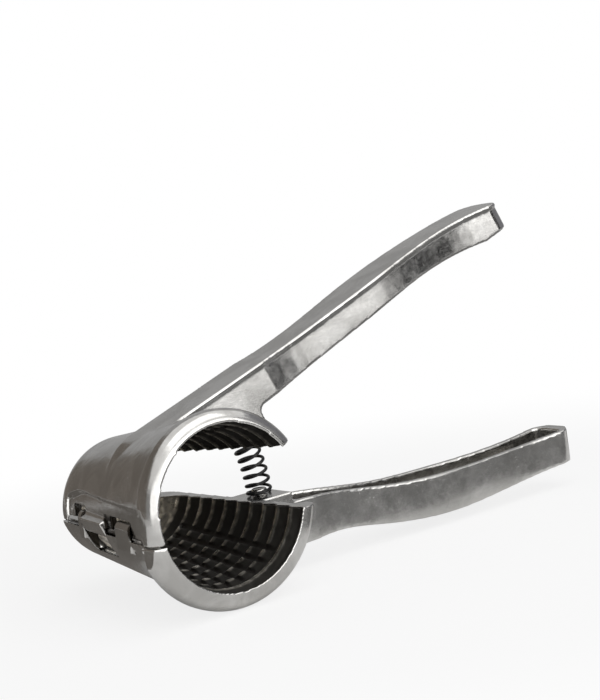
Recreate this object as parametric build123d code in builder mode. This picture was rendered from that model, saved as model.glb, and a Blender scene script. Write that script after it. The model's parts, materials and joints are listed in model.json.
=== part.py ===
from build123d import *
import os
from math import atan, cos, pi, radians, sin, sqrt, tan

os.makedirs("parts", exist_ok=True)

# A nut cracker of two cast levers. Each lever is half of a tapered cup with a handle.
# The mouth of the cup faces -Y, x = y = 0 is the middle of the mouth, the handles run
# along +X, and the flat parting face of the lower half cup is z = 0.
# The upper lever is drawn closed and then turned open about the hinge.

# Cup body, measured across the parting face and square to it
cup_length = 72.7
body_start = 6.7
mouth_half_width = 24.2
tail_half_width = 18.0
tail_shift = 2.6
lower_mouth_drop = 19.7
lower_tail_drop = 13.6
upper_mouth_rise = 21.0
upper_tail_rise = 12.3
tail_round = 10.0
wall = 3.3
tail_wall = 3.4
tail_floor_radius = 9.0
parting_gap = 0.5

# Rim flange round the mouth
lower_rim_half_width = 27.0
upper_rim_half_width = 25.4
rim_height = 22.4
rim_flat = 0.8
rim_setback = 4.5
rim_edge = 1.7
rim_hinge_trim = 1.1

# Ring teeth inside the cup, and the grooves that break them into studs
tooth_pitch = 5.9
tooth_count = 10
tooth_depth = 1.1
tooth_step = 1.7
groove_width = 1.5
groove_count = 9
groove_pitch_angle = 11

# Handle plan, as full widths of the outer web
handle_y = 29.6
root_width = 14.5
neck_width = 12.4
belly_width = 15.5
waist_width = 13.0
end_width = 15.5
crease_x = 41.0
neck_x = 51.0
belly_x = 88.0
waist_x = 117.0
end_x = 134.8
tip_x = 140.2
lower_heel_x = 138.8
lip = 0.4
web = 2.4
lip_band = 1.0
side_wall = 2.0
end_wall = 3.0

# Handle side view, as (x, z) points of the closed nut cracker. The outer lines start inside
# the cup wall, meet the cup's crown at their second point and are straight to the crease.
lower_outer = ((-9.0, -13.8), (2.2, -17.5), (crease_x, -15.3), (54.0, -15.5), (66.0, -17.4),
               (89.0, -19.2), (104.0, -18.5), (119.0, -17.0), (lower_heel_x, -15.0))
lower_inner = ((33.0, -2.9), (50.0, -3.9), (70.0, -6.5), (89.0, -7.3), (109.0, -7.0),
               (tip_x, -4.7))
upper_outer = ((-10.0, 13.9), (2.3, 18.0), (crease_x, 15.5), (57.0, 14.4), (87.0, 14.0),
               (103.0, 13.5), (119.0, 12.2), (tip_x, 8.2))
upper_inner = ((36.0, 5.1), (60.0, 4.9), (82.0, 5.2), (100.0, 5.2), (117.0, 3.3),
               (tip_x, -3.0))

# Root blocks beside the cup
seat_x = 33.4
block_inner_x = 18.0
lower_channel_start = 36.0
upper_channel_start = 44.0
notch_radius = 2.2

# Hinge, whose axis follows the tapered wall
hinge_depth = 2.2
hinge_z = 0.8
pin_radius = 1.2
pin_fit = 0.05
pin_press = 0.01
lug_radius = 2.2
lug_gap = 0.4
lug_top_gap = 0.6
near_window = (17.0, 30.6)
near_lug_end = 26.8
middle_lug = (34.6, 49.6)
far_window = (50.0, 58.2)
far_lug_end = 53.4
upper_window_top = 5.2
lower_window_drop = 7.0
hinge_step = 1.0
hinge_step_top = 9.0
hinge_step_start = 9.5
open_angle = 22.4

# Return spring
spring_x = 27.3
spring_radius = 3.35
wire_radius = 0.45
spring_turns = 12
spring_seat_gap = 0.05
pocket_radius = 4.5
pocket_depth = 12.0
peg_radius = 2.2
peg_height = 2.0

reach = 200.0


def along(start, end, y, first=body_start, last=cup_length):
    """Straight change of a size from the start of the body to its closed end."""
    return start + (end - start) * (y - first) / (last - first)


def ring(half_width, height):
    """Radius of a circle that is cut by the parting face, and its centre beyond that face."""
    radius = (half_width**2 + height**2) / (2 * height)
    return radius, radius - height


def body_ring(y, mouth_height, tail_height):
    """Centre x, radius and centre offset of the outer body at depth y."""
    radius, offset = ring(along(mouth_half_width, tail_half_width, y), along(mouth_height, tail_height, y))
    return along(0, tail_shift, y), radius, offset


def body_loft(mouth_height, tail_height, side, inset=0.0):
    """Tapered outer body, side is -1 for the lower half and 1 for the upper."""
    with BuildPart() as body:
        for y in (body_start, cup_length):
            x, radius, offset = body_ring(y, mouth_height, tail_height)
            with BuildSketch(Plane.XZ.offset(-y)):
                with Locations((x, -side * offset)):
                    Circle(radius - inset)
        loft()
        fillet(body.edges().group_by(Axis.Y)[-1], tail_round)
    return body.part


def rim_turn(half_width, mouth_height, tail_height, side):
    """Flange round the mouth with a rounded bevel in front."""
    radius, offset = ring(half_width, rim_height)
    x, body_radius, body_offset = body_ring(0, mouth_height, tail_height)
    inner = body_radius - wall + offset - body_offset
    seat = radius - (rim_height - along(mouth_height, tail_height, body_start)) - wall / 2
    bend = (radius - inner - rim_flat) * (1 - cos(pi / 4))
    with BuildPart() as rim:
        with BuildSketch(Plane.XY.offset(-side * offset)):
            with BuildLine():
                Polyline((inner - 1, 0), (inner + rim_flat, 0))
                ThreePointArc((inner + rim_flat, 0),
                              (radius - bend, rim_setback * (1 - cos(pi / 4))),
                              (radius, rim_setback))
                Polyline((radius, rim_setback), (radius, rim_setback + rim_edge),
                         (seat, body_start + wall / 2), (inner - 1, body_start + wall / 2), (inner - 1, 0))
            make_face()
        revolve(axis=Axis((0, 0, -side * offset), (0, 1, 0)))
    return rim.part


def cavity(mouth_height, tail_height, side):
    """Inside of the cup: ring teeth, a plain tail, and grooves along the deepest part."""
    shallow = wall
    deep = wall - tooth_depth
    stations = []
    for tooth in range(tooth_count):
        stations.append((tooth * tooth_pitch, shallow))
        stations.append((tooth * tooth_pitch + tooth_step, deep))
    last = tooth_count * tooth_pitch
    stations.append((last, shallow))
    tail_floor = body_ring(cup_length - tail_wall, mouth_height, tail_height)
    stations.append((cup_length - tail_wall, tail_floor[1] - tail_floor_radius))
    with BuildPart() as hollow:
        for (y0, inset0), (y1, inset1) in zip(stations, stations[1:]):
            for y, inset in ((y0, inset0), (y1, inset1)):
                x, radius, offset = body_ring(y, mouth_height, tail_height)
                with BuildSketch(Plane.XZ.offset(-y)):
                    with Locations((x, -side * offset)):
                        Circle(radius - inset)
            loft()
        x, radius, offset = body_ring(0, mouth_height, tail_height)
        with BuildSketch(Plane.XZ):
            with Locations((x, -side * offset)):
                Circle(radius - shallow)
        extrude(amount=body_start)
        for groove in range(groove_count):
            angle = (groove - (groove_count - 1) / 2) * groove_pitch_angle
            for y in (tooth_pitch + tooth_step, last - tooth_pitch):
                x, radius, offset = body_ring(y, mouth_height, tail_height)
                arm = radius - deep - tooth_depth
                turn = radians(angle)
                with BuildSketch(Plane.XZ.offset(-y)):
                    with Locations((x + arm * sin(turn), side * (arm * cos(turn) - offset))):
                        Rectangle(groove_width, 2 * tooth_depth, rotation=-side * angle)
            loft()
    return hollow.part


def plan_half_widths(inset):
    """Stations along a handle, each with half of its width there."""
    return ((crease_x, root_width / 2 - inset), (neck_x, neck_width / 2 - inset),
            (belly_x, belly_width / 2 - inset), (waist_x, waist_width / 2 - inset),
            (end_x, end_width / 2 - inset))


def side_line(points, rooted):
    """Curve through side-view points; a rooted line starts with an arc and a straight."""
    if rooted:
        root, crown, crease = points[:3]
        TangentArc(crown, root, tangent=(crown[0] - crease[0], crown[1] - crease[1]))
        Line(crown, crease)
        points = points[2:]
    Spline(*points)


def handle_blank(outer, inner, inset, start_x, end_inset, band=False):
    """Side view of a handle cut to its plan, both from the named stations."""
    tip = tip_x - end_inset
    half = plan_half_widths(inset)
    corner = tip - end_x
    end_half = half[-1][1]
    turn = cos(pi / 4)
    with BuildPart() as blank:
        with BuildSketch(Plane.XZ.offset(-handle_y)):
            with BuildLine():
                side_line(outer, True)
                Line(outer[-1], inner[-1])
                side_line(inner, band)
                Line(inner[0], outer[0])
            make_face()
        extrude(amount=belly_width, both=True)
        with BuildSketch(Plane.XY):
            with BuildLine():
                for flip in (-1, 1):
                    points = [(x, handle_y + flip * w) for x, w in half]
                    Line((outer[0][0], points[0][1]), points[0])
                    Spline(*points)
                    ThreePointArc(points[-1],
                                  (end_x + corner * turn, handle_y + flip * (end_half - corner * (1 - turn))),
                                  (tip, handle_y + flip * (end_half - corner)))
                Line((tip, handle_y - end_half + corner), (tip, handle_y + end_half - corner))
                Line((outer[0][0], handle_y - half[0][1]), (outer[0][0], handle_y + half[0][1]))
            make_face()
        extrude(amount=reach, both=True, mode=Mode.INTERSECT)
        split(bisect_by=Plane.YZ.offset(start_x), keep=Keep.TOP)
    return blank.part


def lifted(points, rise):
    """The same side-view points, moved in z."""
    return tuple((x, z + rise) for x, z in points)


def prism(points, near_y, far_y, corner=None):
    """Straight prism of a side-view outline between two depths, with one corner rounded."""
    with BuildPart() as block:
        with BuildSketch(Plane.XZ.offset(-far_y)) as outline:
            with BuildLine():
                Polyline(*points, close=True)
            make_face()
            if corner:
                fillet(outline.vertices().sort_by_distance(corner)[0], notch_radius)
        extrude(amount=far_y - near_y)
    return block.part


# The hinge line lies at a steady depth under the tapered wall.
hinge_slope = (mouth_half_width - tail_half_width + tail_shift) / (cup_length - body_start)
hinge_turn = atan(hinge_slope)
hinge_dir = (sin(hinge_turn), cos(hinge_turn), 0)


def hinge_point(y):
    """Point of the hinge line at depth y."""
    surface = along(0, tail_shift, y) - along(mouth_half_width, tail_half_width, y)
    return (surface + hinge_depth, y, hinge_z)


def hinge_plane(y):
    """Plane square to the hinge line; its local x runs inward and its local y downward."""
    return Plane(origin=hinge_point(y), x_dir=(cos(hinge_turn), -sin(hinge_turn), 0), z_dir=hinge_dir)


def span(y0, y1):
    """Length along the hinge line between two depths."""
    return (y1 - y0) / cos(hinge_turn)


hinge_axis = Axis(hinge_point(0), hinge_dir)


def hinge_lug(y0, y1, foot, side, head=0.0):
    """Round-topped lug on the hinge line: its foot is in its own half, its head is in the other."""
    with BuildPart() as lug:
        with BuildSketch(hinge_plane(y0)):
            with Locations((0, side * head)):
                Circle(lug_radius)
            with Locations((0, -side * (foot - head) / 2)):
                Rectangle(2 * lug_radius, foot + head)
        extrude(amount=span(y0, y1))
    return lug.part


def hinge_cut(y0, y1, top, bottom):
    """Box cut through the hinge-side wall between two heights."""
    reach_in = wall + hinge_depth
    with BuildPart() as cut:
        with BuildSketch(hinge_plane(y0)):
            with Locations((0, hinge_z - (top + bottom) / 2)):
                Rectangle(2 * reach_in, top - bottom)
        extrude(amount=span(y0, y1))
    return cut.part


def hinge_bore(radius, y0, y1):
    """Round bore on the hinge line."""
    with BuildPart() as bore:
        with BuildSketch(hinge_plane(y0)):
            Circle(radius)
        extrude(amount=span(y0, y1))
    return bore.part


near_lug = (near_window[0] + lug_gap, near_lug_end)
far_lug = (far_window[0] + lug_gap, far_lug_end)
middle_window = (middle_lug[0] - lug_gap, middle_lug[1] + lug_gap)
near_root = handle_y - root_width / 2
far_root = handle_y + root_width / 2
lower_lug_head = upper_window_top - hinge_z - lug_radius - lug_top_gap

# Lower lever
with BuildPart() as lower_lever:
    add(body_loft(lower_mouth_drop, lower_tail_drop, -1))
    add(rim_turn(lower_rim_half_width, lower_mouth_drop, lower_tail_drop, -1))
    with Locations((-mouth_half_width - rim_hinge_trim - reach / 2, 0, 0)):
        Box(reach, 2 * body_start, reach, mode=Mode.SUBTRACT)
    add(prism(((block_inner_x, lower_outer[2][1]), (block_inner_x, 0), (seat_x, 0),
               (seat_x, lower_inner[0][1]), (lower_channel_start + web, lower_inner[0][1]),
               (lower_channel_start + web, lower_outer[2][1])), near_root, far_root))
    add(handle_blank(lower_outer, lower_inner, 0, lower_outer[0][0], 0))
    add(handle_blank(lifted(lower_outer, web), lifted(lower_inner, web), side_wall,
                     lower_channel_start, end_wall), mode=Mode.SUBTRACT)
    split(bisect_by=Plane.XY, keep=Keep.BOTTOM)
    add(cavity(lower_mouth_drop, lower_tail_drop, -1), mode=Mode.SUBTRACT)
    add(hinge_cut(middle_window[0], middle_window[1], hinge_z, -lower_window_drop), mode=Mode.SUBTRACT)
    for start, end in (near_lug, far_lug):
        add(hinge_lug(start, end, hinge_z + wall, -1, lower_lug_head))
    add(hinge_bore(pin_radius - pin_press, near_lug[0], cup_length), mode=Mode.SUBTRACT)
    with Locations((spring_x, handle_y, peg_height / 2)):
        Cylinder(peg_radius, peg_height)

# Upper lever, drawn closed
with BuildPart() as hinge_recess:
    x, radius, offset = body_ring(body_start, upper_mouth_rise, upper_tail_rise)
    with Locations((-radius, (hinge_step_start + cup_length - tail_round) / 2, hinge_step_top / 2)):
        Box(radius, cup_length - tail_round - hinge_step_start, hinge_step_top)
    add(body_loft(upper_mouth_rise, upper_tail_rise, 1, hinge_step), mode=Mode.SUBTRACT)

with BuildPart() as hinge_relief:
    outward = 2 * wall
    with BuildSketch(hinge_plane(-rim_setback)):
        with BuildLine():
            Polyline((0, hinge_z), (0, hinge_z - parting_gap),
                     (-outward, hinge_z - parting_gap - outward * tan(radians(open_angle))),
                     (-outward, hinge_z), close=True)
        make_face()
    extrude(amount=span(-rim_setback, cup_length))

with BuildPart() as closed_upper:
    add(body_loft(upper_mouth_rise, upper_tail_rise, 1))
    add(rim_turn(upper_rim_half_width, upper_mouth_rise, upper_tail_rise, 1))
    add(hinge_recess.part, mode=Mode.SUBTRACT)
    add(prism(((block_inner_x, upper_outer[2][1]), (block_inner_x, 0), (seat_x, 0),
               (seat_x, upper_inner[0][1]), (crease_x, upper_inner[0][1]),
               (crease_x, upper_outer[2][1])), near_root + lip, far_root - lip,
              corner=(seat_x, upper_inner[0][1])))
    add(handle_blank(upper_outer, upper_inner, lip, upper_outer[0][0], lip))
    add(handle_blank(upper_outer, lifted(upper_outer, -lip_band), 0, upper_outer[0][0], 0, band=True))
    add(handle_blank(lifted(upper_outer, -web), lifted(upper_inner, -web), side_wall + lip,
                     upper_channel_start, end_wall), mode=Mode.SUBTRACT)
    split(bisect_by=Plane.XY.offset(parting_gap), keep=Keep.TOP)
    add(cavity(upper_mouth_rise, upper_tail_rise, 1), mode=Mode.SUBTRACT)
    add(hinge_relief.part, mode=Mode.SUBTRACT)
    add(hinge_cut(near_window[0], near_window[1], upper_window_top, -hinge_z), mode=Mode.SUBTRACT)
    add(hinge_cut(far_window[0], far_window[1], upper_window_top, -hinge_z), mode=Mode.SUBTRACT)
    add(hinge_lug(middle_lug[0], middle_lug[1], wall, 1))
    add(hinge_bore(pin_radius + pin_fit, near_window[0], cup_length), mode=Mode.SUBTRACT)
    with Locations((spring_x, handle_y, parting_gap + pocket_depth / 2)):
        Cylinder(pocket_radius, pocket_depth, mode=Mode.SUBTRACT)

with BuildPart() as upper_lever:
    add(closed_upper.part.rotate(hinge_axis, -open_angle))

# Hinge pin
with BuildPart() as hinge_pin:
    with BuildSketch(hinge_plane(near_lug[0])):
        Circle(pin_radius)
    extrude(amount=span(near_lug[0], far_lug[1]))

# Return spring: its centre line is an arc about the hinge, from the lower seat to the mouth
# of the pocket in the open upper lever, and then the pocket's own straight centre line.
opening = radians(open_angle)
up = Vector(0, 0, 1)
hinge_along = Vector(*hinge_dir)
hinge_across = Vector(cos(hinge_turn), -sin(hinge_turn), 0)
pivot = Vector(*hinge_point(handle_y))
seat_offset = Vector(spring_x, handle_y, hinge_z) - pivot
seat_arm = seat_offset.dot(hinge_across)
seat_pivot = pivot + hinge_along * seat_offset.dot(hinge_along)
end_gap = wire_radius + spring_seat_gap
foot_rise = end_gap - hinge_z
head_rise = parting_gap + pocket_depth - end_gap - hinge_z
spring_length = seat_arm * opening + head_rise - foot_rise


def spring_point(turns):
    """Point of the wire's centre after a number of turns."""
    done = foot_rise + turns / spring_turns * spring_length
    bend = min(max(done / seat_arm, 0), opening)
    angle = 2 * pi * turns
    outward = hinge_across * cos(bend) + up * sin(bend)
    onward = up * cos(bend) - hinge_across * sin(bend)
    return (seat_pivot + outward * (seat_arm + spring_radius * cos(angle))
            + hinge_along * (spring_radius * sin(angle)) + onward * (done - bend * seat_arm))


def spring_tangent(turns):
    """Unit direction of the wire."""
    step = 0.0005
    return (spring_point(turns + step) - spring_point(turns - step)).normalized()


with BuildPart() as return_spring:
    with BuildLine() as wire:
        for quarter in range(4 * spring_turns):
            p0, p1 = spring_point(quarter / 4), spring_point((quarter + 1) / 4)
            t0, t1 = spring_tangent(quarter / 4), spring_tangent((quarter + 1) / 4)
            chord = p1 - p0
            both = t0 + t1
            spread = 2 * (1 - t0.dot(t1))
            reach_out = (sqrt(chord.dot(both)**2 + spread * chord.dot(chord)) - chord.dot(both)) / spread
            joint = (p0 + p1 + (t0 - t1) * reach_out) / 2
            turn_dir = ((p1 - t1 * reach_out) - (p0 + t0 * reach_out)).normalized()
            TangentArc(p0, joint, tangent=t0)
            TangentArc(joint, p1, tangent=turn_dir)
    with BuildSketch(Plane(origin=spring_point(0), z_dir=spring_tangent(0))):
        Circle(wire_radius)
    sweep()

samples = 48
coil = [spring_point(i / samples) for i in range(spring_turns * samples + 1)]
least = min((coil[i] - coil[j]).length for i in range(len(coil))
            for j in range(i + samples // 2, min(i + 2 * samples, len(coil)))) - 2 * wire_radius
print("least gap of the spring to itself:", round(least, 2), "mm")

lower_lever.part.label = "lower_lever"
export_step(lower_lever.part, "parts/lower_lever.step")
upper_lever.part.label = "upper_lever"
export_step(upper_lever.part, "parts/upper_lever.step")
hinge_pin.part.label = "hinge_pin"
export_step(hinge_pin.part, "parts/hinge_pin.step")
return_spring.part.label = "return_spring"
export_step(return_spring.part, "parts/return_spring.step")
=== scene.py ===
import json
from math import cos, pi, radians, sin, tan

import bmesh
import bpy
from mathutils import Matrix, Quaternion, Vector, kdtree, noise


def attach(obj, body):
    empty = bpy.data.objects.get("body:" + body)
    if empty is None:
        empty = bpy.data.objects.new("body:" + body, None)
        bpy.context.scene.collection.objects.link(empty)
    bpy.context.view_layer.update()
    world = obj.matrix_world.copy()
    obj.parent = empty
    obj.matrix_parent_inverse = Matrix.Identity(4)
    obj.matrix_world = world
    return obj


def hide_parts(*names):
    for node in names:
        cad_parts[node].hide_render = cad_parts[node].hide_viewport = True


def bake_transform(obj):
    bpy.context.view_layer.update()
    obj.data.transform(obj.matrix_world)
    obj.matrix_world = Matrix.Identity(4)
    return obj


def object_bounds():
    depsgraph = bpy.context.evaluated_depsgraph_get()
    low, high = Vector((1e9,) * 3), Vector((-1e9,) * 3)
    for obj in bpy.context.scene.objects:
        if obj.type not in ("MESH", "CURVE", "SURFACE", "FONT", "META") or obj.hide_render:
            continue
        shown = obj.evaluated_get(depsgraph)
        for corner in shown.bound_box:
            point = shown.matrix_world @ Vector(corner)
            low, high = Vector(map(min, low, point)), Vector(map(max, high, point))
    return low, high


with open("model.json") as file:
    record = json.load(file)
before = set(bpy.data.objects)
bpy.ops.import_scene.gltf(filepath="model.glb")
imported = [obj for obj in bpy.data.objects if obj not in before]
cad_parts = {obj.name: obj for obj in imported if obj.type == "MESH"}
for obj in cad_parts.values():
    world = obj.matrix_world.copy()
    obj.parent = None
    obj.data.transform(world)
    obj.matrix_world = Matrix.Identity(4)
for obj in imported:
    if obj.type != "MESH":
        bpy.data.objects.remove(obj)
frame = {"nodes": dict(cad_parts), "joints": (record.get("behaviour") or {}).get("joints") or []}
cad_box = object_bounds()
mm = 0.001

# Camera: where the photograph was taken from
camera_place = Vector((-271.6, -436.0, 105.5)) * mm
camera_forward = Vector((0.5623, 0.8182, -0.1199))
camera_roll = radians(-8.76)
focal_pixels = 2000
image_height = 700
sensor = 36

# Castings: how finely they are made, how far their edges are rounded and how uneven their teeth are
voxel = 0.34 * mm
soften_factor, soften_steps = 0.5, 4
uneven_size, uneven_depth = 1.7 * mm, 0.12 * mm
most_triangles = 196000

# Cup, as the CAD measures it when closed: half widths and depths of its two halves, its walls, its
# teeth and the heights of its parting faces
body_start, cup_length = 6.7 * mm, 72.7 * mm
half_widths = (24.2 * mm, 18.0 * mm)
tail_shift = 2.6 * mm
lower_depths = (19.7 * mm, 13.6 * mm)
upper_depths = (21.0 * mm, 12.3 * mm)
wall = 3.3 * mm
tail_wall = 3.4 * mm
tooth_depth = 1.1 * mm
lower_parting, upper_parting = 0.0, 0.5 * mm

# Lining of the cup, its dark partly soot and partly painted shade, its crests lighter partly from wear
# and partly as painted highlight: where it begins below the skin, behind the mouth and past the parting
# face, each with the width over which it comes in, how far it fades at the closed end, and how much of
# it a point has whose surface is uneven
lining_skin = (1.3 * mm, 0.4 * mm)
lining_mouth = (0.4 * mm, 1.5 * mm)
lining_edge = (0.2 * mm, 0.3 * mm)
tail_fade = 0.5 * mm
least_inside = 0.9

# Painted shade in the gaps at the hinge, as ranges of y and z in millimetres: on both sides of the near
# lug, on both sides of the far lug, before the middle lug, and the opening under it
hinge_gaps = (((16.6, 18.0), (-1.0, 5.4)), ((26.5, 30.9), (-2.2, 5.5)),
              ((49.6, 50.9), (-1.0, 5.4)), ((53.1, 58.5), (-2.2, 5.5)),
              ((30.6, 35.4), (-2.2, 5.5)), ((33.9, 50.3), (-7.3, 0.8)))
gap_skin = (0.15 * mm, 0.2 * mm)
hinge_side = -0.8

# Return spring: its wire and turns, the share of its length that a closed end turn takes, its gap in
# the pocket, and where it stands
spring_turns = 12
spring_radius = 3.35 * mm
wire_radius = 0.45 * mm
wire_sides = 12
steps_per_turn = 40
closed_turn = 0.75
closed_share = 0.035
head_gap = 0.05 * mm
spring_seat = Vector((27.3, 29.6, 0.0)) * mm
pocket_rise = 12.5 * mm

# Stage: the floor and where its shadow is kept, how far from there it fades to white, how much of
# that white lies over the shadow itself, and where the cards stand
floor_drop = 0.1 * mm
floor_size = 8
floor_white = (0.90, 0.90, 0.90, 1)
shadow_centre = (0.05, 0.03, 0)
shadow_fade = (0.12, 0.26)
shadow_veil = 0.80
ambient = 0.45
card_foot = -0.02
card_lift = 1 * mm
flag_top = 0.2

hinge = frame["joints"][0]
hinge_place = Vector(hinge["pos_m"])
hinge_dir = Vector(hinge["axis"]).normalized()
open_angle = radians(hinge["range_deg"][1])


# ---------------------------------------------------------------- materials


class Nodes:
    """Short calls for building one material."""

    def __init__(self, name):
        self.material = bpy.data.materials.new(name)
        self.material.use_nodes = True
        self.tree = self.material.node_tree
        self.shader = self.tree.nodes["Principled BSDF"]

    def add(self, kind, inputs=(), **settings):
        node = self.tree.nodes.new(kind)
        for key, value in settings.items():
            setattr(node, key, value)
        for key, value in dict(inputs).items():
            if isinstance(value, bpy.types.NodeSocket):
                self.tree.links.new(value, node.inputs[key])
            else:
                node.inputs[key].default_value = value
        return node

    def link(self, output, socket):
        self.tree.links.new(output, self.shader.inputs[socket])

    def place(self, stretch=(1, 1, 1)):
        """Place on the object at rest, in millimetres, stretched by a factor along each axis."""
        coords = self.add("ShaderNodeTexCoord")
        scale = self.add("ShaderNodeMapping", {"Scale": [f / mm for f in stretch]})
        self.tree.links.new(coords.outputs["Object"], scale.inputs["Vector"])
        return scale.outputs["Vector"]

    def noise(self, size, stretch=(1, 1, 1), detail=3.0, rough=0.5, warp=0.0):
        """Noise whose grains measure about size in millimetres."""
        inputs = {"Vector": self.place(stretch), "Scale": 1 / size, "Detail": detail, "Roughness": rough,
                  "Distortion": warp}
        return self.add("ShaderNodeTexNoise", inputs).outputs["Fac"]

    def ramp(self, value, low, high, start=0.0, end=1.0):
        """Smooth step of a value between two limits, onto a range."""
        node = self.add("ShaderNodeMapRange", {"Value": value, "From Min": low, "From Max": high,
                                               "To Min": start, "To Max": end})
        node.interpolation_type = "SMOOTHSTEP"
        return node.outputs["Result"]

    def math(self, operation, first, second):
        return self.add("ShaderNodeMath", {0: first, 1: second}, operation=operation).outputs[0]

    def mix(self, factor, first, second):
        inputs = {"Factor": factor, "A": first, "B": second}
        return self.add("ShaderNodeMix", inputs, data_type="RGBA").outputs["Result"]

    def bump(self, height, distance, normal=None):
        inputs = {"Height": height, "Distance": distance * mm, "Strength": 1.0}
        if normal:
            inputs["Normal"] = normal
        return self.add("ShaderNodeBump", inputs).outputs["Normal"]

    def attribute(self, name):
        return self.add("ShaderNodeAttribute", attribute_name=name).outputs["Fac"]


def cast_metal():
    """Tumbled and polished casting: bright outside, dark and dull in the cup, partly soot and partly
    painted shade, its teeth lighter, partly worn and partly painted highlight, and painted shade in its
    crevices and hinge gaps.
    """
    m = Nodes("cast_metal")
    light, mid, dark = (0.66, 0.65, 0.63, 1), (0.52, 0.51, 0.49, 1), (0.15, 0.135, 0.115, 1)
    soot_and_shade, lighter = (0.022, 0.019, 0.015, 1), (0.85, 0.80, 0.71, 1)
    speck_share, crevice_shade_share, lining_share = 0.5, 0.8, 0.94
    clouds = m.noise(11, detail=4, rough=0.6, warp=0.6)
    grain = m.noise(0.9, detail=3, rough=0.7)
    colour = m.mix(m.ramp(clouds, 0.36, 0.66), mid, light)
    colour = m.mix(m.ramp(grain, 0.45, 0.75, 0, 0.35), colour, mid)
    specks = m.ramp(m.noise(0.55, detail=2, rough=0.8), 0.70, 0.77)
    colour = m.mix(m.math("MULTIPLY", specks, speck_share), colour, dark)
    # Painted shade: the colour darkens in crevices, as far as ambient occlusion finds them shut in
    hollow = m.add("ShaderNodeAmbientOcclusion", {"Distance": 2.0 * mm}, samples=8, only_local=True)
    crevice_shade = m.ramp(hollow.outputs["AO"], 0.25, 0.80, 1, 0)
    colour = m.mix(m.math("MULTIPLY", crevice_shade, crevice_shade_share), colour, dark)
    # Cup lining: its dark is partly soot and partly painted shade
    inside, crest = m.attribute("cup_inside"), m.attribute("tooth_crest")
    # Lighter crests on the teeth: partly wear and partly painted highlight
    wear = m.ramp(m.noise(2.0, detail=3), 0.35, 0.6, 0.4, 1.0)
    crest_wear_and_glint = m.math("MULTIPLY", m.ramp(crest, 0.65, 1.0), wear)
    lining = m.mix(crest_wear_and_glint, soot_and_shade, lighter)
    colour = m.mix(m.math("MULTIPLY", inside, lining_share), colour, lining)
    # Painted shade in the gaps at the hinge
    colour = m.mix(m.attribute("gap_shade"), colour, soot_and_shade)
    m.link(colour, "Base Color")
    m.shader.inputs["Metallic"].default_value = 1.0
    rough = m.ramp(m.noise(6, detail=3, rough=0.6), 0.3, 0.7, 0.14, 0.22)
    rough = m.math("ADD", rough, m.ramp(grain, 0.45, 0.7, 0, 0.06))
    dull = m.math("MULTIPLY", inside, m.ramp(crest_wear_and_glint, 0, 0.8, 0.35, 0.10))
    rough = m.math("ADD", rough, dull)
    m.link(rough, "Roughness")
    peel = m.bump(m.noise(3.2, detail=2), 0.022)
    fine = m.bump(m.noise(0.35, detail=2, rough=0.7), 0.005, normal=peel)
    scratches = m.bump(m.noise(0.5, (0.06, 1, 1), detail=2, rough=0.8, warp=0.3), 0.005, normal=fine)
    pits = m.bump(specks, 0.03, normal=scratches)
    pits.node.invert = True
    m.link(pits, "Normal")
    return m.material


def spring_steel():
    """Black oiled spring wire."""
    m = Nodes("spring_wire")
    black, lighter = (0.012, 0.012, 0.013, 1), (0.06, 0.058, 0.055, 1)
    wear = m.noise(1.6, detail=3, rough=0.6)
    m.link(m.mix(m.ramp(wear, 0.5, 0.75), black, lighter), "Base Color")
    m.shader.inputs["Metallic"].default_value = 0.6
    m.link(m.ramp(wear, 0.3, 0.7, 0.28, 0.45), "Roughness")
    m.link(m.bump(m.noise(0.25), 0.005), "Normal")
    return m.material


def pin_steel():
    """Dark drawn steel with fine marks along it."""
    m = Nodes("drawn_steel")
    dark, mid = (0.10, 0.095, 0.09, 1), (0.22, 0.21, 0.20, 1)
    marks = m.noise(0.3, (1, 0.05, 1), detail=2)
    m.link(m.mix(marks, dark, mid), "Base Color")
    m.shader.inputs["Metallic"].default_value = 1.0
    m.link(m.ramp(marks, 0.3, 0.7, 0.25, 0.4), "Roughness")
    m.link(m.bump(marks, 0.004), "Normal")
    return m.material


# ---------------------------------------------------------------- pieces


def along(sizes, y):
    """Straight change of a size from the start of the cup to its closed end."""
    return sizes[0] + (sizes[1] - sizes[0]) * (y - body_start) / (cup_length - body_start)


def clamped(value):
    return min(max(value, 0), 1)


def past(value, limit):
    """How far a value is past a limit, from 0 to 1 over the limit's own width."""
    start, width = limit
    return clamped((value - start) / width)


def between(value, limits):
    return limits[0] < value < limits[1]


def cup_marks(point, depths, side, parting):
    """How far a point is on the cup's inner wall, on a tooth's crest and in a hinge gap painted with shade,
    each 0 to 1.
    """
    width, depth = along(half_widths, point.y), along(depths, point.y)
    radius = (width**2 + depth**2) / (2 * depth)
    across = point.x - along((0, tail_shift), point.y)
    below_skin = radius - Vector((across, point.z + side * (radius - depth))).length
    inside = (past(below_skin, lining_skin) * past(point.y, lining_mouth)
              * past(cup_length - tail_wall / 2 - point.y, (0, tail_fade))
              * past(side * point.z - parting, lining_edge))
    crest = past(below_skin, (wall - tooth_depth, tooth_depth))
    y, z = point.y / mm, point.z / mm
    in_gap = any(between(y, lengths) and between(z, heights) for lengths, heights in hinge_gaps)
    gap_shade = past(below_skin, gap_skin) if across < hinge_side * width and in_gap else 0
    return inside, crest, gap_shade


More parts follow.
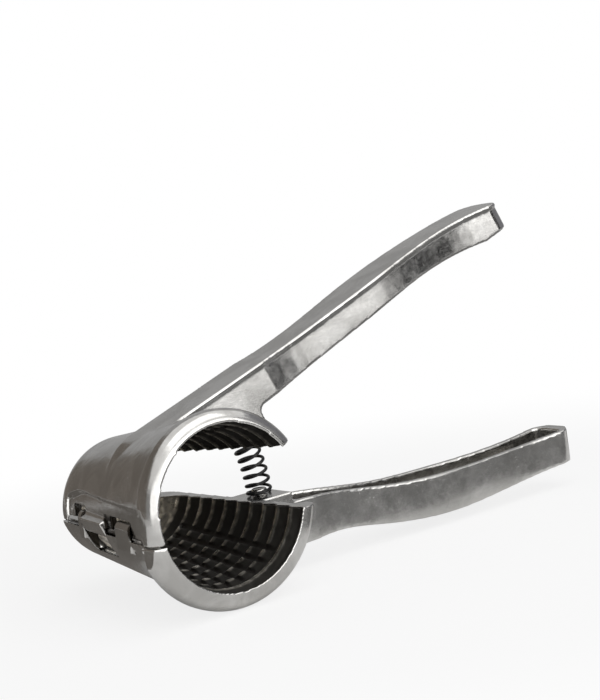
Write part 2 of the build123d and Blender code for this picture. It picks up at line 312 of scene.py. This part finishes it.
def casting(node, name, body, depths, side, parting, turned_back):
    """A lever as it is cast: the CAD's shape with its edges rounded over and its teeth a little uneven.

    turned_back takes a point at rest to where it is when the levers are closed, which is how the cup's
    sizes are given.
    """
    piece = bpy.data.objects.new(name, frame["nodes"][node].data.copy())
    bpy.context.scene.collection.objects.link(piece)
    piece.data.materials.clear()
    remesh = piece.modifiers.new("voxels", "REMESH")
    remesh.mode, remesh.voxel_size = "VOXEL", voxel
    soften = piece.modifiers.new("soften", "SMOOTH")
    soften.factor, soften.iterations = soften_factor, soften_steps
    fine = evaluated(piece)
    piece.modifiers.clear()
    places, outward = [v.co.copy() for v in fine.vertices], [v.normal.copy() for v in fine.vertices]
    for place, normal in zip(places, outward):
        if cup_marks(turned_back @ place, depths, side, parting)[0] > least_inside:
            place += normal * noise.noise(place / uneven_size) * uneven_depth
    fine.vertices.foreach_set("co", [value for place in places for value in place])
    fine.update()
    piece.data = fine
    thin = piece.modifiers.new("thin", "DECIMATE")
    thin.ratio = min(1, most_triangles / (2 * len(fine.polygons)))
    mesh = evaluated(piece)
    piece.modifiers.clear()
    piece.data = mesh
    mesh.name = name
    marks = [cup_marks(turned_back @ v.co, depths, side, parting) for v in mesh.vertices]
    for mark, values in zip(("cup_inside", "tooth_crest", "gap_shade"), zip(*marks)):
        mesh.attributes.new(mark, "FLOAT", "POINT").data.foreach_set("value", values)
    mesh.shade_smooth()
    keep_normals(mesh, fine)
    mesh.materials.append(metal)
    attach(piece, body)
    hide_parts(node)
    return piece


def keep_normals(mesh, fine):
    """Shade a thinned mesh with the directions of the fine one."""
    tree = kdtree.KDTree(len(fine.vertices))
    for vertex in fine.vertices:
        tree.insert(vertex.co, vertex.index)
    tree.balance()
    normals = [fine.vertices[tree.find(vertex.co)[1]].normal.copy() for vertex in mesh.vertices]
    mesh.normals_split_custom_set_from_vertices(normals)


def evaluated(piece):
    """The mesh that a piece's modifiers make."""
    graph = bpy.context.evaluated_depsgraph_get()
    return bpy.data.meshes.new_from_object(piece.evaluated_get(graph))


def spring_line():
    """Centre line of the spring, as a function of its share: an arc about the hinge, then straight."""
    up = Vector((0, 0, 1))
    across = hinge_dir.cross(up)
    pivot = hinge_place + hinge_dir * (spring_seat - hinge_place).dot(hinge_dir)
    arm = (spring_seat - pivot).dot(across)
    foot = wire_radius - pivot.z
    head = pocket_rise - wire_radius - head_gap - pivot.z
    length = arm * open_angle + head - foot

    def at(share):
        done = foot + share * length
        bend = min(max(done / arm, 0), open_angle)
        outward = across * cos(bend) + up * sin(bend)
        onward = up * cos(bend) - across * sin(bend)
        return pivot + outward * arm + onward * (done - bend * arm), outward, onward

    return at


def coil_spring():
    """The wound wire, with its end turns closed and its ends cut square."""
    at = spring_line()
    rings = spring_turns * steps_per_turn
    inner_turns = spring_turns - 2 * closed_turn
    pitch_share = (1 - 2 * closed_turn * closed_share) / inner_turns

    def share(turns):
        """Share of the length after a number of turns: slow in the closed end turns."""
        first = min(turns, closed_turn) * closed_share
        middle = max(min(turns - closed_turn, inner_turns), 0) * pitch_share
        return first + middle + max(turns - closed_turn - inner_turns, 0) * closed_share

    points = []
    for step in range(rings + 1):
        turns = step / steps_per_turn
        centre, outward, onward = at(share(turns))
        angle = 2 * pi * turns
        points.append(centre + (outward * cos(angle) + hinge_dir * sin(angle)) * spring_radius)
    mesh = bmesh.new()
    loops = []
    for step, point in enumerate(points):
        ahead = points[min(step + 1, rings)] - points[max(step - 1, 0)]
        ahead.normalize()
        sideways = ahead.cross(Vector((0, 0, 1))).normalized()
        upward = sideways.cross(ahead)
        loops.append([mesh.verts.new(point + (sideways * cos(a) + upward * sin(a)) * wire_radius)
                      for a in (2 * pi * side / wire_sides for side in range(wire_sides))])
    for first, second in zip(loops, loops[1:]):
        for side in range(wire_sides):
            after = (side + 1) % wire_sides
            mesh.faces.new((first[side], second[side], second[after], first[after]))
    mesh.faces.new(loops[0])
    mesh.faces.new(reversed(loops[-1]))
    bmesh.ops.recalc_face_normals(mesh, faces=mesh.faces)
    data = bpy.data.meshes.new("coil_spring")
    mesh.to_mesh(data)
    mesh.free()
    data.shade_smooth()
    data.materials.append(spring_steel())
    piece = bpy.data.objects.new("coil_spring", data)
    bpy.context.scene.collection.objects.link(piece)
    at(1)[0]
    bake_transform(piece)
    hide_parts("return_spring")
    return piece


# ---------------------------------------------------------------- stage


def set_camera():
    """Camera at the photograph's place."""
    data = bpy.data.cameras.new("camera")
    data.sensor_width = sensor
    data.lens = focal_pixels * sensor / image_height
    camera = bpy.data.objects.new("camera", data)
    bpy.context.scene.collection.objects.link(camera)
    camera.rotation_mode = "QUATERNION"
    turn = camera_forward.to_track_quat("-Z", "Y") @ Quaternion((0, 0, 1), camera_roll)
    camera.location, camera.rotation_quaternion = camera_place, turn
    bpy.context.scene.camera = camera


def plane(name, centre, across, up, width, height):
    """Flat rectangle facing the object."""
    data = bpy.data.meshes.new(name)
    across, up = Vector(across) * width / 2, Vector(up) * height / 2
    centre = Vector(centre)
    corners = [centre - across - up, centre + across - up, centre + across + up, centre - across + up]
    data.from_pydata(corners, [], [(0, 1, 2, 3)])
    piece = bpy.data.objects.new(name, data)
    bpy.context.scene.collection.objects.link(piece)
    return piece


def lay_floor(height):
    """Pale floor that keeps the object's shadow."""
    m = Nodes("floor")
    m.shader.inputs["Base Color"].default_value = floor_white
    m.shader.inputs["Roughness"].default_value = 0.7
    m.shader.inputs["Specular IOR Level"].default_value = 0.0
    glow = m.add("ShaderNodeEmission", {"Color": (1, 1, 1, 1), "Strength": 1.0})
    path = m.add("ShaderNodeLightPath")
    coords = m.add("ShaderNodeTexCoord")
    ends = {0: coords.outputs["Object"], 1: shadow_centre}
    away = m.add("ShaderNodeVectorMath", ends, operation="DISTANCE")
    share = m.ramp(away.outputs["Value"], *shadow_fade, shadow_veil, 1.0)
    factor = m.math("MULTIPLY", path.outputs["Is Camera Ray"], share)
    mixed = m.add("ShaderNodeMixShader")
    output = m.tree.nodes["Material Output"]
    m.tree.links.new(factor, mixed.inputs[0])
    m.tree.links.new(m.shader.outputs[0], mixed.inputs[1])
    m.tree.links.new(glow.outputs[0], mixed.inputs[2])
    m.tree.links.new(mixed.outputs[0], output.inputs["Surface"])
    floor = plane("floor", (0, 0, height), (1, 0, 0), (0, 1, 0), floor_size, floor_size)
    floor.data.materials.append(m.material)


def reflect_only(card, colour):
    """Plain colour that only reflections see."""
    m = Nodes(card.name)
    m.shader.inputs["Base Color"].default_value = (0, 0, 0, 1)
    m.shader.inputs["Specular IOR Level"].default_value = 0.0
    m.shader.inputs["Emission Color"].default_value = (*colour, 1)
    m.shader.inputs["Emission Strength"].default_value = 1.0
    card.data.materials.append(m.material)
    card.visible_camera = card.visible_diffuse = card.visible_shadow = card.visible_transmission = False


def hang_card(name, first, last, distance, low, high, colour):
    """Upright card between two azimuths, which count from -Y towards +X."""
    a, half = radians((first + last) / 2), radians((last - first) / 2)
    centre = Vector((sin(a), -cos(a), 0)) * distance + Vector((0, 0, (low + high) / 2))
    card = plane(name, centre, (cos(a), sin(a), 0), (0, 0, 1), 2 * distance * tan(half), high - low)
    reflect_only(card, colour)


def lay_card(name, x, y, width, depth, colour):
    """Level card just over the floor."""
    reflect_only(plane(name, (x, y, floor_z + card_lift), (1, 0, 0), (0, 1, 0), width, depth), colour)


def hang_light(name, place, target, width, height, radiance):
    """Soft box aimed at a point, given by the brightness of its face."""
    data = bpy.data.lights.new(name, "AREA")
    data.shape, data.size, data.size_y = "RECTANGLE", width, height
    data.energy = radiance * pi * width * height
    light = bpy.data.objects.new(name, data)
    bpy.context.scene.collection.objects.link(light)
    light.location = place
    light.rotation_mode = "QUATERNION"
    light.rotation_quaternion = (Vector(target) - Vector(place)).to_track_quat("-Z", "Y")
    light.visible_camera = False


def light_world(strength):
    """Even light all round, on a background that shows white."""
    world = bpy.data.worlds.new("world")
    bpy.context.scene.world = world
    world.use_nodes = True
    tree = world.node_tree
    soft = tree.nodes["Background"]
    soft.inputs["Color"].default_value = (1, 1, 1, 1)
    soft.inputs["Strength"].default_value = strength
    white = tree.nodes.new("ShaderNodeBackground")
    white.inputs["Color"].default_value = (1, 1, 1, 1)
    white.inputs["Strength"].default_value = 1.0
    path = tree.nodes.new("ShaderNodeLightPath")
    shown = path.outputs["Is Camera Ray"]
    for ray in ("Is Glossy Ray", "Is Transmission Ray"):
        either = tree.nodes.new("ShaderNodeMath")
        either.operation = "MAXIMUM"
        tree.links.new(shown, either.inputs[0])
        tree.links.new(path.outputs[ray], either.inputs[1])
        shown = either.outputs[0]
    mixed = tree.nodes.new("ShaderNodeMixShader")
    tree.links.new(shown, mixed.inputs[0])
    tree.links.new(soft.outputs[0], mixed.inputs[1])
    tree.links.new(white.outputs[0], mixed.inputs[2])
    tree.links.new(mixed.outputs[0], tree.nodes["World Output"].inputs["Surface"])


set_camera()
metal = cast_metal()
still = Matrix.Identity(4)
closing = (Matrix.Translation(hinge_place) @ Matrix.Rotation(open_angle, 4, hinge_dir)
           @ Matrix.Translation(-hinge_place))
casting("lower_lever", "lower_casting", "lower", lower_depths, -1, lower_parting, still)
casting("upper_lever", "upper_casting", "upper", upper_depths, 1, upper_parting, closing)
coil_spring()
frame["nodes"]["hinge_pin"].data.materials.clear()
frame["nodes"]["hinge_pin"].data.materials.append(pin_steel())

floor_z = cad_box[0].z - floor_drop
lay_floor(floor_z)
light_world(ambient)
hang_light("front_box", (0.3, -0.95, 0.33), (0.3, 0.0, 0.05), 1.0, 0.7, 1.65)
hang_light("left_box", (-0.9, -0.95, 0.33), (-0.9, 0.0, 0.05), 1.4, 0.7, 0.9)
hang_light("top_box", (0.15, -0.3, 0.95), (0.05, 0.03, 0), 1.0, 0.8, 1.1)
hang_card("right_flag", 34, 66, 1.6, card_foot, flag_top, (0.005, 0.005, 0.006))
hang_card("right_upper_card", 34, 66, 1.6, flag_top, 0.9, (0.35, 0.35, 0.36))
hang_card("right_card", 66, 112, 1.2, card_foot, 0.9, (0.24, 0.24, 0.26))
hang_card("back_card", 112, 172, 1.5, card_foot, 1.5, (0.38, 0.38, 0.38))
hang_card("left_back_card", 172, 268, 1.2, card_foot, 1.3, (0.17, 0.152, 0.135))
hang_card("left_card", 267, 301, 1.7, card_foot, 0.9, (0.30, 0.30, 0.30))
lay_card("front_floor_card", 0.33, -0.25, 0.54, 0.50, (0.21, 0.21, 0.21))
lay_card("back_floor_card", 0.15, 0.34, 0.9, 0.58, (0.15, 0.14, 0.13))

scene = bpy.context.scene
scene.view_settings.view_transform = "Standard"
